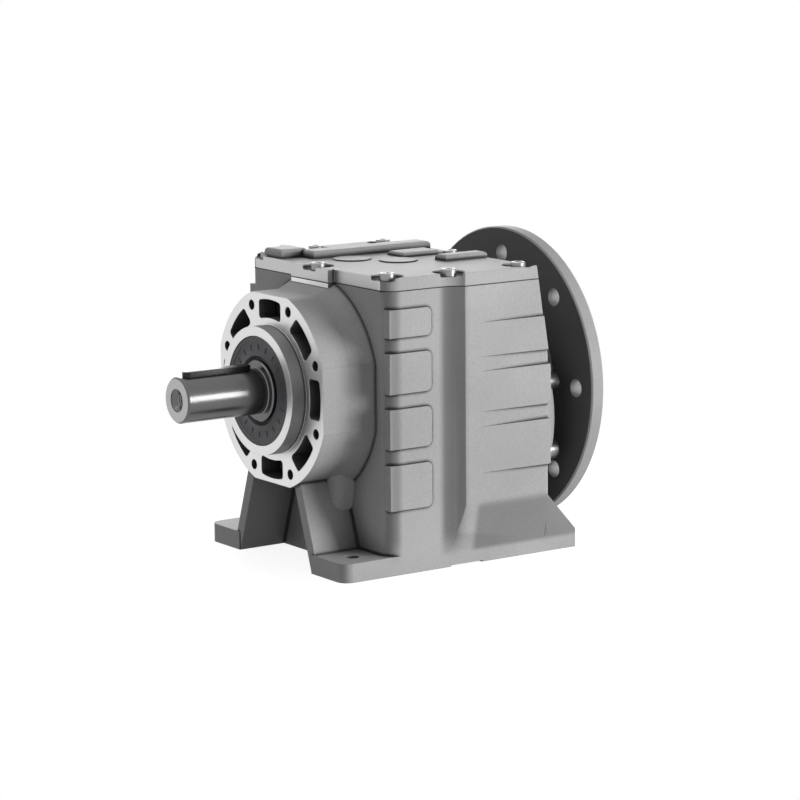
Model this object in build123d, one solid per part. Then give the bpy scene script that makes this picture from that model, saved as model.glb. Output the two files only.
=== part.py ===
from build123d import *
import os
from math import acos, atan, cos, pi, radians, sin, sqrt, tan

# Foot-mounted coaxial helical gear reducer for a flange motor.
# Millimetres. X runs across the feet, Y runs along the shafts with the motor at +Y,
# and Z is up from the mounting face. The origin is the centre of the four foot holes
# on the mounting face.

# Gear pairs: the second stage drives the output
normal_pressure_angle = 20.0
second_module = 2.25
second_helix = 10.5193
second_pinion_teeth = 14
second_gear_teeth = 38
second_gear_width = 26.0
second_gear_y = -25.0
second_pinion_width = 28.0
second_shift = 0.3
first_module = 2.0
first_helix = 11.2547
first_pinion_teeth = 15
first_gear_teeth = 36
first_gear_width = 18.0
first_gear_y = 34.0
first_pinion_width = 20.0
first_shift = 0.25
backlash = 0.3
root_depth = 1.25
tooth_sink = 0.8

# Shaft lines: the shifts of each pair cancel, so its centres follow from teeth and helix
axis_height = 115.0
stage_two_centres = second_module * (second_pinion_teeth + second_gear_teeth) / 2 / cos(radians(second_helix))
stage_one_centres = first_module * (first_pinion_teeth + first_gear_teeth) / 2 / cos(radians(first_helix))
intermediate_axis_height = axis_height - stage_two_centres
input_axis_height = intermediate_axis_height + stage_one_centres

# Feet
base_length = 186.0
base_width = 164.0
foot_thickness = 12.5
foot_width = 38.0
foot_corner_radius = 8.0
foot_hole_diameter = 9.0
foot_hole_span_x = 130.0
foot_hole_span_y = 150.0
sole_relief = 1.0
sole_relief_start = -9.0
sole_relief_end = 16.0

# Housing body
split_height = 184.0
front_wall_y = -58.0
front_wall = 10.0
step_start_y = -16.0
step_end_y = -1.5
step_bow_along = 0.62
step_bow_across = 0.7
rear_width = 177.0
rear_wall_y = 66.5
rear_wall = 16.0
rear_lean_height = 125.0
rear_lean = 9.0
side_wall = 8.0
floor_height = 12.0
front_corner_radius = 10.0
rear_corner_radius = 3.0
belly_height = 41.0
band_height = 9.5
bulkhead_front_y = -8.0
bulkhead_rear_y = 10.0
front_rib_width = 44.0
front_rib_depth = 5.0
front_rib_foot = 168.0

# Side panels
pad_proud = 1.0
pad_root = 6.0
rear_pad_root = 2.0
pad_end_y = -24.4
pad_corner_radius = 4.0
front_pad_spans = ((42.5, 72.0), (82.5, 108.5), (118.3, 144.5), (154.5, 172.7))
wedge_start_y = 10.8
wedge_proud = 1.3
rear_pad_spans = ((60.9, 91.3), (101.3, 127.7), (137.4, 159.7))

# Output end: eight-hole face with pockets, seal boss and leg plates
face_y = -94.0
face_radius = 65.5
face_flat = 62.0
neck_widening = 6.5
neck_widening_length = 15.0
boss_diameter = 84.5
boss_height = 10.5
face_hole_count = 8
face_hole_circle = 115.0
face_hole_diameter = 6.8
face_hole_depth = 16.0
pocket_inner_radius = 46.7
pocket_outer_radius = 59.0
pocket_width = 26.0
pocket_depth = 14.0
pocket_corner_radius = 2.5
leg_foot_x = 43.5
leg_top_x = 24.7
leg_top_height = 54.5
leg_thickness = 8.0
leg_sink = 8.0
leg_setback = 0.5

# Rear feet
gusset_height = 42.0
gusset_thickness = 8.5

# Cover and its screws
gasket_thickness = 0.6
cover_thickness = 8.4
cover_screw_places = ((71.0, -50.0), (78.0, -7.0), (78.0, 48.5))
cover_middle_screw_front_y = -56.0
cover_middle_screw_rear_y = 50.0
cover_recess_diameter = 18.0
cover_recess_depth = 2.6
cover_screw_diameter = 6.0
cover_screw_head = 10.0
cover_screw_length = 20.0
screw_boss_radius = 9.0
screw_boss_depth = 34.0

# Motor adapter with its flange
adapter_gasket = 0.5
adapter_plate_radius = 80.0
adapter_plate_height = 89.0
adapter_plate_floor = 20.0
adapter_plate_thickness = 10.0
adapter_screw_x = 70.0
adapter_top_screw_x = 29.4
adapter_screw_rise = 23.0
adapter_screw_diameter = 8.0
adapter_screw_head = 13.0
adapter_screw_length = 22.0
adapter_neck_radius = 56.0
flange_diameter = 200.0
flange_thickness = 10.0
flange_front_y = 93.0
flange_hole_circle = 165.0
flange_hole_count = 8
flange_hole_diameter = 12.0
register_diameter = 130.0
register_depth = 4.5

# Output shaft
shaft_diameter = 30.0
shaft_length = 60.0
shaft_end_y = -165.0
shaft_tap_diameter = 8.5
shaft_tap_mouth = 15.0
shaft_tap_depth = 24.0
shaft_tap_mouth_depth = 3.0
shaft_chamfer = 1.2
collar_diameter = 40.0
key_width = 8.0
key_height = 7.0
key_depth = 4.0
key_length = 50.0
key_setback = 5.0

# Bearings: bore, outside diameter, width, ball count
output_front_bearing = (35.0, 72.0, 17.0, 9)
output_rear_bearing = (25.0, 52.0, 15.0, 9)
middle_front_bearing = (20.0, 47.0, 14.0, 8)
middle_rear_bearing = (17.0, 40.0, 12.0, 8)
input_front_bearing = (30.0, 55.0, 13.0, 8)
input_rear_bearing = (40.0, 68.0, 15.0, 8)
ball_share = 0.3
race_clearance = 0.12
shoulder_share = 0.26
cage_inset = 1.5
cage_gap = 0.8
cage_guide = 0.08
groove_share = 0.66
bearing_lip = 3.0

# Seals, rings and running gaps
seal_width = 10.0
seal_gap = 0.15
output_ring_width = 2.0
input_seal_width = 8.0

# Input shafts
motor_bore = 19.0
motor_bore_depth = 40.0
motor_key_width = 6.0
motor_key_rise = 2.8
quill_diameter = 40.0
quill_end_y = 98.0
quill_front_diameter = 30.0
pinion_shank_diameter = 16.0
pinion_shank_length = quill_end_y - motor_bore_depth - first_gear_y - first_pinion_width / 2

input_rear_y = 68.0
input_seal_y = 86.0
input_seal_end_y = input_seal_y + input_seal_width
input_seal_outer = 31.0
neck_ring_outer = 50.0
neck_ring_inner = 38.0
neck_flare = 4.0
neck_floor = 3.0
adapter_seat_depth = 0.6
adapter_screw_hole = 9.0
adapter_screw_seat = 17.0
quill_start_y = 46.0
pinion_collar_radius = 12.0

# Details inside
front_bearing_stop = 5.0
bearing_stop = 4.0
bearing_boss_wall = 6.5
gear_passage = 5.0
screw_boss_margin = 2.0
cover_screw_hole = 6.6
gasket_width = 9.0
cover_hollow = 3.0
ridge_radius = 2.5
cover_ridges = (
    (-70.0, -44.0, -56.5, -36.0, 6.0),
    (-46.5, -30.0, -40.0, 55.0, 5.0),
    (-19.0, 0.0, 12.0, 42.0, 3.0),
    (22.0, 34.0, 22.0, 56.0, 4.0),
)
cover_discs = ((11.0, 0.0), (-14.0, -20.0))
cover_disc_radius = 12.5
cover_disc_rise = 0.8
collar_start_y = -105.0
key_start_y = shaft_end_y + key_setback
gear_key_width = 10.0
gear_key_height = 8.0
gear_key_depth = 5.0
gear_key_length = 20.0
gear_key_y = second_gear_y - gear_key_length / 2
gear_end_y = second_gear_y + second_gear_width / 2
gear_dish_depth = 3.0
output_gear_dish = (35.0, 26.0)
middle_gear_dish = (29.0, 20.0)
spacer_radius = 21.5
ring_groove = 1.2
shaft_ring_width = 1.75
output_ring_rise = 3.0
middle_ring_rise = 2.5
output_ring_opening = 6.0
middle_ring_opening = 5.0
bearing_ring_inner = 31.0
bearing_ring_opening = 14.0
middle_gear_bore = 25.0
middle_front_shoulder = 13.0
middle_shoulder = 15.0
middle_rear_shoulder = 10.8
middle_seat_end_y = 47.0
middle_key_width = 8.0
middle_key_height = 7.0
middle_key_depth = 4.0
middle_key_length = 14.0
middle_key_y = first_gear_y - middle_key_length / 2
seal_dish_radius = 31.0
seal_dish_depth = 4.0
seal_lip_wall = 1.6
seal_lip_setback = 1.0
seal_wall = 3.0
seal_back_depth = 5.0
input_seal_back_depth = 4.0

TEETH_STEPS = 3
FAR = 400.0
BASE = (Align.CENTER, Align.CENTER, Align.MIN)


def rod(radius, y0, y1, height, x=0.0):
    """Cylinder along the shafts, from y0 to y1."""
    place = Plane(origin=(x, y0, height), x_dir=(1, 0, 0), z_dir=(0, 1, 0))
    return place * Cylinder(radius, y1 - y0, align=(Align.CENTER, Align.CENTER, Align.MIN))


def ring(outer, inner, y0, y1, height):
    """Round sleeve along the shafts."""
    return rod(outer, y0, y1, height) - rod(inner, y0 - 1, y1 + 1, height)


def cone(radius0, radius1, y0, y1, height, x=0.0):
    """Cone along the shafts, with radius0 at y0."""
    place = Plane(origin=(x, y0, height), x_dir=(1, 0, 0), z_dir=(0, 1, 0))
    body = Cone(radius0, radius1, y1 - y0, align=(Align.CENTER, Align.CENTER, Align.MIN))
    return place * body


def block(x0, x1, y0, y1, z0, z1):
    """Box between two corners."""
    size = Box(x1 - x0, y1 - y0, z1 - z0, align=(Align.MIN, Align.MIN, Align.MIN))
    return Pos(x0, y0, z0) * size


def front_prism(face, y0, y1):
    """A shape drawn in X and Z, carried along Y."""
    place = Plane(origin=(0, y1, 0), x_dir=(1, 0, 0), z_dir=(0, -1, 0))
    return extrude(place * face, y1 - y0)


def side_prism(face, x0, x1):
    """A shape drawn in Y and Z, carried along X."""
    place = Plane(origin=(x0, 0, 0), x_dir=(0, 1, 0), z_dir=(1, 0, 0))
    return extrude(place * face, x1 - x0)


def outline(*points):
    """Face inside a run of points."""
    return make_face(Polyline(*points, close=True))


def both_sides(solid):
    """A solid and its mirror image across the middle."""
    return solid + mirror(solid, about=Plane.YZ)


def plan(margin, z0, z1):
    """The housing's outline in plan, drawn in by a margin and raised from z0 to z1."""
    front_x = base_width / 2 - margin
    rear_x = rear_width / 2 - margin
    front_y = front_wall_y + margin
    rear_y = rear_wall_y - margin
    rise = (rear_x - front_x) / 2
    middle_y = step_start_y + (step_end_y - step_start_y) * step_bow_along
    middle_x = front_x + rise * step_bow_across
    right = [
        Line((0, front_y), (front_x, front_y)),
        Line((front_x, front_y), (front_x, step_start_y)),
        ThreePointArc((front_x, step_start_y), (middle_x, middle_y), (rear_x, step_end_y)),
        Line((rear_x, step_end_y), (rear_x, rear_y)),
        Line((rear_x, rear_y), (0, rear_y)),
        Line((0, rear_y), (0, front_y)),
    ]
    half = extrude(Pos(0, 0, z0) * make_face(right), z1 - z0)
    return both_sides(half)


def rear_lean_cutter(inset):
    """Wedge that leans the rear wall in above the shafts."""
    top_y = rear_wall_y - rear_lean - inset
    low_y = rear_wall_y - inset
    lean = rear_lean / (split_height - rear_lean_height)
    past_y = top_y - lean * (FAR - split_height)
    points = ((low_y, rear_lean_height), (past_y, FAR), (FAR, FAR), (FAR, rear_lean_height))
    return side_prism(outline(*points), -FAR / 2, FAR / 2)


def upright_edges(solid, x, y, reach=1.0):
    """Upright edges of a solid that stand at plus and minus x."""
    found = []
    for edge in solid.edges().filter_by(Axis.Z):
        middle = edge.center()
        if abs(abs(middle.X) - x) < reach and abs(middle.Y - y) < reach:
            found.append(edge)
    return found


def octagon(radius, flat):
    """The output face's outline: a circle with four flats."""
    return Circle(radius) & Rectangle(2 * flat, 2 * flat)


def widening_neck():
    """The neck where it widens into the front wall."""
    narrow = octagon(face_radius, face_flat)
    wide = octagon(face_radius + neck_widening, face_flat + neck_widening)
    ends = []
    for face, y in ((narrow, front_wall_y - neck_widening_length), (wide, front_wall_y)):
        place = Plane(origin=(0, y, axis_height), x_dir=(1, 0, 0), z_dir=(0, -1, 0))
        ends.append(place * face)
    return loft(ends, ruled=True)


def side_feet():
    """Front and rear foot slabs with their leg plates and gussets on the +X side."""
    half_width = base_width / 2
    half_length = base_length / 2
    inner_x = half_width - foot_width
    front = block(inner_x, half_width, -half_length, front_wall_y + front_wall, 0, foot_thickness)
    front = fillet(upright_edges(front, half_width, -half_length), foot_corner_radius)
    rear = block(inner_x, half_width, rear_wall_y - rear_wall, half_length, 0, foot_thickness)
    gusset = side_prism(
        outline(
            (rear_wall_y - rear_wall, 0),
            (half_length, 0),
            (half_length, foot_thickness),
            (rear_wall_y, gusset_height),
            (rear_wall_y - rear_wall, gusset_height),
        ),
        half_width - gusset_thickness,
        half_width,
    )
    lean = (leg_foot_x - leg_top_x) / leg_top_height
    top = leg_top_height + leg_sink
    leg = front_prism(
        outline(
            (leg_foot_x, 0),
            (leg_top_x - lean * leg_sink, top),
            (leg_top_x - lean * leg_sink + leg_thickness, top),
            (leg_foot_x + leg_thickness, 0),
        ),
        -half_length + leg_setback,
        front_wall_y + front_wall,
    )
    return front + rear + gusset + leg


def belly_cutter():
    """Wedge that draws the wide rear of the body in to the width of the base."""
    wide = rear_width / 2
    narrow = base_width / 2
    points = ((narrow, -1), (narrow, band_height), (wide, belly_height), (FAR, belly_height), (FAR, -1))
    return front_prism(outline(*points), step_start_y - 1, rear_wall_y + 1)


def cavity():
    """Room for the gears: a front bay and a rear bay either side of the bulkhead."""
    front_x = base_width / 2 - side_wall
    rear_x = rear_width / 2 - side_wall
    front = block(-front_x, front_x, front_wall_y + front_wall, bulkhead_front_y, floor_height, FAR)
    inner_y = rear_wall_y - rear_wall
    profile = outline(
        (bulkhead_rear_y, floor_height),
        (inner_y, floor_height),
        (inner_y, rear_lean_height),
        (inner_y - rear_lean, split_height),
        (inner_y - rear_lean, FAR),
        (bulkhead_rear_y, FAR),
    )
    low = side_prism(profile, -front_x, front_x)
    high = side_prism(profile, -rear_x, rear_x) & block(-FAR, FAR, -FAR, FAR, belly_height, FAR)
    return front + low + high


def front_pad(low, high):
    """Raised pad on the front part of the side, cut square at the body's round corner."""
    half = base_width / 2
    pad = block(half - pad_root, half + pad_proud, front_wall_y + 1, pad_end_y, low, high)
    corners = [e for e in pad.edges().filter_by(Axis.X) if e.center().Y > pad_end_y - 1]
    return fillet(corners, pad_corner_radius)


def rear_pad(low, high):
    """Raised pad on the rear part of the side, rising from nothing towards the motor."""
    half = rear_width / 2
    points = (
        (half - rear_pad_root, wedge_start_y),
        (half, wedge_start_y),
        (half + wedge_proud, rear_wall_y),
        (half - rear_pad_root, rear_wall_y),
    )
    return Pos(0, 0, low) * extrude(outline(*points), high - low)


def pockets():
    """Lightening pockets in the output face, one between each pair of holes."""
    track = Circle(pocket_outer_radius) - Circle(pocket_inner_radius)
    window = Pos(0, (pocket_inner_radius + pocket_outer_radius) / 2) * Rectangle(pocket_width, FAR / 10)
    one = fillet((track & window).vertices(), pocket_corner_radius)
    cutter = front_prism(one, face_y - 1, face_y + pocket_depth)
    cutters = []
    for index in range(face_hole_count):
        turn = Rot(Y=index * 360 / face_hole_count)
        cutters.append(Pos(0, 0, axis_height) * turn * cutter)
    return cutters


def face_holes():
    """Tapped holes round the output face."""
    cutters = []
    for index in range(face_hole_count):
        angle = radians((index + 0.5) * 360 / face_hole_count)
        x = face_hole_circle / 2 * cos(angle)
        z = axis_height + face_hole_circle / 2 * sin(angle)
        cutters.append(rod(face_hole_diameter / 2, face_y - 1, face_y + face_hole_depth, z, x))
    return cutters


def cover_screw_spots():
    """Places of the eight cover screws in plan."""
    spots = [(side * x, y) for x, y in cover_screw_places for side in (-1, 1)]
    return spots + [(0, cover_middle_screw_front_y), (0, cover_middle_screw_rear_y)]


def adapter_screw_spots():
    """Places of the adapter screws on the rear wall."""
    rises = (-adapter_screw_rise, adapter_screw_rise)
    spots = [(side * adapter_screw_x, adapter_plate_height + rise) for side in (-1, 1) for rise in rises]
    top_rise = sqrt(adapter_screw_x**2 + adapter_screw_rise**2 - adapter_top_screw_x**2)
    return spots + [(side * adapter_top_screw_x, adapter_plate_height + top_rise) for side in (-1, 1)]


def front_boss_block(z1):
    """Block in the middle of the front wall that carries the middle cover screw."""
    half = front_rib_width / 2
    low = front_rib_foot if z1 <= split_height else split_height + gasket_thickness
    return block(-half, half, front_wall_y - front_rib_depth, front_wall_y + front_wall, low, z1)


output_bearing_y = face_y + 2.0
output_bearing_end_y = output_bearing_y + output_front_bearing[2]
boss_front_y = face_y - boss_height
rear_bearing_y = bulkhead_front_y
middle_front_y = front_wall_y + 4.0
middle_rear_y = rear_wall_y - rear_wall + bearing_lip
input_front_y = middle_rear_y


def make_housing():
    body = round_corners(plan(0, 0, split_height))
    neck_face = Pos(0, axis_height) * octagon(face_radius, face_flat)
    body += front_prism(neck_face, face_y, front_wall_y + front_wall)
    body += widening_neck()
    body += front_boss_block(split_height)
    body += rod(boss_diameter / 2, boss_front_y, face_y + 1, axis_height)
    body -= rear_lean_cutter(0)
    body -= both_sides(belly_cutter())
    body += both_sides(side_feet())
    body += front_prism(adapter_outline(), rear_wall_y - rear_wall, rear_wall_y)
    for low, high in front_pad_spans:
        body += both_sides(front_pad(low, high))
    for low, high in rear_pad_spans:
        body += both_sides(rear_pad(low, high) - rear_lean_cutter(0))
    body -= cavity()
    body += housing_bosses()
    body -= housing_bores()
    return body


def housing_bosses():
    """Bosses inside the body: cover screws, middle shaft bearing and face hole roots."""
    bosses = []
    inside = plan(screw_boss_margin, split_height - screw_boss_depth, split_height)
    inside -= rear_lean_cutter(screw_boss_margin)
    for x, y in cover_screw_spots():
        column = Cylinder(screw_boss_radius, screw_boss_depth, align=(Align.CENTER, Align.CENTER, Align.MAX))
        bosses.append((Pos(x, y, split_height) * column) & inside)
    outer = middle_front_bearing[1] / 2 + bearing_boss_wall
    boss_end_y = middle_front_y + middle_front_bearing[2]
    bosses.append(rod(outer, front_wall_y + 1, boss_end_y, intermediate_axis_height))
    return bosses


def housing_bores():
    """Every bore and hole in the housing."""
    output_radius = output_front_bearing[1] / 2
    cuts = [rod(output_radius, boss_front_y - 1, output_bearing_end_y, axis_height)]
    cuts.append(rod(output_radius + ring_groove, face_y, output_bearing_y, axis_height))
    stop_radius = output_radius - front_bearing_stop
    cuts.append(rod(stop_radius, boss_front_y, front_wall_y + front_wall + 1, axis_height))
    cuts += pockets() + face_holes()
    rear_radius = output_rear_bearing[1] / 2
    cuts.append(rod(rear_radius, rear_bearing_y - 1, rear_bearing_y + output_rear_bearing[2], axis_height))
    cuts.append(rod(rear_radius - bearing_stop, rear_bearing_y, bulkhead_rear_y + 1, axis_height))
    passage = tip_radius(second_module, second_pinion_teeth, second_helix, second_shift) + gear_passage
    cuts.append(rod(passage, bulkhead_front_y - 1, bulkhead_rear_y + 1, intermediate_axis_height))
    middle_end = middle_front_y + middle_front_bearing[2]
    cuts.append(rod(middle_front_bearing[1] / 2, middle_front_y, middle_end + 1, intermediate_axis_height))
    for bearing, height in (
        (middle_rear_bearing, intermediate_axis_height),
        (input_front_bearing, input_axis_height),
    ):
        radius = bearing[1] / 2
        cuts.append(rod(radius, middle_rear_y, rear_wall_y + 1, height))
        cuts.append(rod(radius - bearing_stop, rear_wall_y - rear_wall - 1, middle_rear_y + 1, height))
    thread = cover_screw_diameter / 2
    for x, y in cover_screw_spots():
        column = Cylinder(thread, cover_screw_length, align=(Align.CENTER, Align.CENTER, Align.MAX))
        cuts.append(Pos(x, y, split_height + 1) * column)
    for x, z in adapter_screw_spots():
        depth = adapter_screw_length - adapter_plate_thickness + 2
        cuts.append(rod(adapter_screw_diameter / 2, rear_wall_y - depth, rear_wall_y + 1, z, x))
    for x in (-foot_hole_span_x / 2, foot_hole_span_x / 2):
        for y in (-foot_hole_span_y / 2, foot_hole_span_y / 2):
            column = Cylinder(foot_hole_diameter / 2, foot_thickness * 2)
            cuts.append(Pos(x, y, foot_thickness / 2) * column)
    cuts.append(block(-FAR, FAR, sole_relief_start, sole_relief_end, -1, sole_relief))
    return cuts


def transverse(module, teeth, helix):
    """Pitch radius, base radius and pressure angle in the plane of rotation."""
    pitch = module / cos(helix) * teeth / 2
    pressure = atan(tan(radians(normal_pressure_angle)) / cos(helix))
    return pitch, pitch * cos(pressure), pressure


def involute(angle):
    return tan(angle) - angle


def tip_radius(module, teeth, helix, shift):
    return transverse(module, teeth, radians(helix))[0] + (1 + shift) * module


def tooth_points(module, teeth, helix, shift):
    """One tooth's outline from root to root, as radius and angle from the tooth's middle."""
    pitch, base, pressure = transverse(module, teeth, helix)
    tip = pitch + (1 + shift) * module
    root = pitch - (root_depth - shift) * module
    thickness = module / cos(helix) * (pi / 2 + 2 * shift * tan(pressure)) - backlash / 2
    half_at_pitch = thickness / (2 * pitch)
    start = max(base, root)
    flank = []
    for step in range(TEETH_STEPS + 1):
        radius = start + (tip - start) * step / TEETH_STEPS
        angle = half_at_pitch + involute(pressure) - involute(acos(base / radius))
        flank.append((radius, angle))
    foot = [(root, flank[0][1])] if base > root + 0.05 else []
    side = foot + flank
    return [(radius, -angle) for radius, angle in side] + [(r, a) for r, a in reversed(side)]


def gear_blank(module, teeth, helix_degrees, shift, width, middle_y, height, hand, turn):
    """Root cylinder with one ruled helical tooth for each place round it."""
    helix = radians(helix_degrees)
    pitch = transverse(module, teeth, helix)[0]
    twist = hand * tan(helix) / pitch
    root = pitch - (root_depth - shift) * module
    side = tooth_points(module, teeth, helix, shift)
    profile = [(root - tooth_sink, side[0][1])] + side + [(root - tooth_sink, side[-1][1])]
    ends = []
    for offset in (-width / 2, width / 2):
        lead = twist * offset + turn
        points = [(radius * sin(angle + lead), radius * cos(angle + lead)) for radius, angle in profile]
        place = Plane(origin=(0, middle_y + offset, height), x_dir=(1, 0, 0), z_dir=(0, -1, 0))
        ends.append(place * outline(*points))
    tooth = loft(ends, ruled=True)
    centre = Pos(0, 0, height)
    all_teeth = [centre * Rot(Y=index * 360 / teeth) * centre.inverse() * tooth for index in range(teeth)]
    return rod(root, middle_y - width / 2, middle_y + width / 2, height) + all_teeth


def second_gear(teeth, shift, width, height, hand, turn):
    return gear_blank(second_module, teeth, second_helix, shift, width, second_gear_y, height, hand, turn)


def first_gear(teeth, shift, width, height, hand, turn):
    return gear_blank(first_module, teeth, first_helix, shift, width, first_gear_y, height, hand, turn)


def bearing(sizes, y0, height):
    """Ball bearing: outer ring, inner ring and the cage that rides inside the outer ring."""
    bore, outside, width, count, mean, ball = bearing_sizes(sizes)
    shoulder = (outside - bore) / 2 * shoulder_share
    middle_y = y0 + width / 2
    half_groove = ball * groove_share
    groove_outer = mean + ball + race_clearance
    groove_inner = mean - ball - race_clearance
    groove = ring(groove_outer, groove_inner, middle_y - half_groove, middle_y + half_groove, height)
    land = outside / 2 - shoulder
    outer = ring(outside / 2, land, y0, y0 + width, height) - groove
    inner = ring(bore / 2 + shoulder, bore / 2, y0, y0 + width, height) - groove
    cage_inner = bore / 2 + shoulder + cage_gap
    cage = ring(land - cage_guide, cage_inner, y0 + cage_inset, y0 + width - cage_inset, height)
    pocket = ball + cage_gap / 4
    slot = block(-pocket, pocket, middle_y - pocket, middle_y + pocket, 0, outside)
    for index in range(count):
        cage -= Pos(0, 0, height) * Rot(Y=index * 360 / count) * slot
    return outer, inner, cage


def bearing_sizes(sizes):
    """Bore, outside diameter, width, ball count, ball circle radius and ball radius."""
    bore, outside, width, count = sizes
    return bore, outside, width, count, (bore + outside) / 4, (outside - bore) / 2 * ball_share

def round_corners(body):
    """Round the upright corners of a solid that has the housing's outline."""
    body = fillet(upright_edges(body, base_width / 2, front_wall_y), front_corner_radius)
    return fillet(upright_edges(body, rear_width / 2, rear_wall_y), rear_corner_radius)


def make_gasket():
    low = split_height
    high = split_height + gasket_thickness
    opening = plan(gasket_width, low - 1, high + 1) - rear_lean_cutter(gasket_width)
    body = round_corners(plan(0, low, high)) - opening
    for x, y in cover_screw_spots():
        disc = Pos(x, y, low) * Cylinder(screw_boss_radius, gasket_thickness, align=BASE)
        body += disc & plan(0, low, high)
    half = front_rib_width / 2
    body += block(-half, half, front_wall_y - front_rib_depth, front_wall_y + 1, low, high)
    body -= rear_lean_cutter(0)
    for x, y in cover_screw_spots():
        body -= Pos(x, y, low - 1) * Cylinder(cover_screw_diameter / 2, gasket_thickness + 2, align=BASE)
    return body


def ridge(x0, x1, y0, y1, top):
    """Cast ridge on the cover with soft upper edges."""
    low = split_height + gasket_thickness + cover_thickness / 2
    body = block(x0, x1, y0, y1, low, top)
    radius = min(ridge_radius, (top - cover_top()) * 0.8)
    return fillet(body.edges().group_by(Axis.Z)[-1], radius)


def cover_top():
    return split_height + gasket_thickness + cover_thickness


def make_cover():
    low = split_height + gasket_thickness
    top = cover_top()
    half = front_rib_width / 2
    body = round_corners(plan(0, low, top))
    body += block(-half, half, front_wall_y - front_rib_depth, front_wall_y + 1, low, top)
    body -= rear_lean_cutter(0)
    for x0, x1, y0, y1, height in cover_ridges:
        body += ridge(x0, x1, y0, y1, top + height)
    for x, y in cover_discs:
        body += Pos(x, y, low) * Cylinder(cover_disc_radius, top + cover_disc_rise - low, align=BASE)
    inside = plan(gasket_width, low - 1, low + cover_hollow) - rear_lean_cutter(gasket_width)
    for x, y in cover_screw_spots():
        inside -= Pos(x, y, low - 2) * Cylinder(screw_boss_radius, cover_hollow + 4, align=BASE)
    body -= inside
    for x, y in cover_screw_spots():
        body -= Pos(x, y, low - 1) * Cylinder(cover_screw_hole / 2, cover_thickness + 2, align=BASE)
        recess = Cylinder(cover_recess_diameter / 2, cover_recess_depth + 20, align=BASE)
        body -= Pos(x, y, top - cover_recess_depth) * recess
    return body


def adapter_outline():
    """The adapter plate's outline, cut level near the feet."""
    disc = Pos(0, adapter_plate_height) * Circle(adapter_plate_radius)
    return disc & (Pos(0, adapter_plate_floor + FAR / 2) * Rectangle(FAR, FAR))


def make_adapter_gasket():
    body = front_prism(adapter_outline(), rear_wall_y, rear_wall_y + adapter_gasket)
    body -= rod(input_front_bearing[1] / 2, rear_wall_y - 1, rear_wall_y + 1, input_axis_height)
    body -= rod(middle_rear_bearing[1] / 2, rear_wall_y - 1, rear_wall_y + 1, intermediate_axis_height)
    for x, z in adapter_screw_spots():
        body -= rod(adapter_screw_diameter / 2, rear_wall_y - 1, rear_wall_y + 1, z, x)
    return body


def make_adapter():
    start = rear_wall_y + adapter_gasket
    end = flange_front_y + flange_thickness
    plate_end = start + adapter_plate_thickness
    body = front_prism(adapter_outline(), start, plate_end)
    body += rod(adapter_neck_radius, start, flange_front_y + 1, input_axis_height)
    neck_start = adapter_neck_radius + neck_flare
    body += cone(neck_start, adapter_neck_radius, plate_end, plate_end + neck_flare, input_axis_height)
    body += rod(flange_diameter / 2, flange_front_y, end, input_axis_height)
    body -= rod(register_diameter / 2, end - register_depth, end + 1, input_axis_height)
    body -= ring(neck_ring_outer, neck_ring_inner, plate_end + neck_floor, end + 1, input_axis_height)
    body -= rod(neck_ring_inner + 1, input_seal_end_y, end + 1, input_axis_height)
    bearing_radius = input_rear_bearing[1] / 2
    body -= rod(bearing_radius, start - 1, input_rear_y + input_rear_bearing[2], input_axis_height)
    body -= rod(bearing_radius - bearing_stop, start, input_seal_y + 1, input_axis_height)
    body -= rod(input_seal_outer, input_seal_y, end, input_axis_height)
    for index in range(flange_hole_count):
        angle = radians(index * 360 / flange_hole_count)
        x = flange_hole_circle / 2 * cos(angle)
        z = input_axis_height + flange_hole_circle / 2 * sin(angle)
        body -= rod(flange_hole_diameter / 2, flange_front_y - 1, end + 1, z, x)
    for x, z in adapter_screw_spots():
        body -= rod(adapter_screw_hole / 2, start - 1, plate_end + 1, z, x)
        body -= rod(adapter_screw_seat / 2, plate_end - adapter_seat_depth, flange_front_y - 1, z, x)
    return body


def key_block(width, length, y0, low, high):
    """Parallel key with round ends, standing on the upper side of a shaft."""
    slot = SlotOverall(length, width, rotation=90)
    return Pos(0, y0 + length / 2, low) * extrude(slot, high - low)


def make_output_shaft():
    radius = shaft_diameter / 2
    seat = output_front_bearing[0] / 2
    nose = rod(radius, shaft_end_y, collar_start_y, axis_height)
    nose = chamfer(nose.edges().group_by(Axis.Y)[0], shaft_chamfer)
    body = nose + rod(collar_diameter / 2, collar_start_y, output_bearing_y, axis_height)
    body += rod(seat, output_bearing_y, rear_bearing_y, axis_height)
    tail_end = rear_bearing_y + output_rear_bearing[2] + 1
    body += rod(output_rear_bearing[0] / 2, rear_bearing_y, tail_end, axis_height)
    top = axis_height + radius - key_depth
    body -= key_block(key_width, key_length, key_start_y, top, axis_height + collar_diameter)
    gear_top = axis_height + seat - gear_key_depth
    body -= key_block(gear_key_width, gear_key_length, gear_key_y, gear_top, axis_height + collar_diameter)
    body -= rod(shaft_tap_diameter / 2, shaft_end_y - 1, shaft_end_y + shaft_tap_depth, axis_height)
    mouth_end_y = shaft_end_y + shaft_tap_mouth_depth
    body -= cone(shaft_tap_mouth / 2, shaft_tap_diameter / 2, shaft_end_y, mouth_end_y, axis_height)
    groove = ring(seat + 1, seat - ring_groove, gear_end_y, gear_end_y + shaft_ring_width, axis_height)
    return body - groove


def make_output_gear():
    body = second_gear(second_gear_teeth, -second_shift, second_gear_width, axis_height, 1, pi)
    bore = output_front_bearing[0] / 2
    body -= rod(bore, second_gear_y - FAR / 2, second_gear_y + FAR / 2, axis_height)
    slot_top = axis_height + bore + gear_key_height - gear_key_depth
    half = gear_key_width / 2
    slot = block(-half, half, second_gear_y - FAR / 2, second_gear_y + FAR / 2, axis_height, slot_top)
    return body - slot - gear_dishes(axis_height, second_gear_y, second_gear_width, *output_gear_dish)


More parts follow.
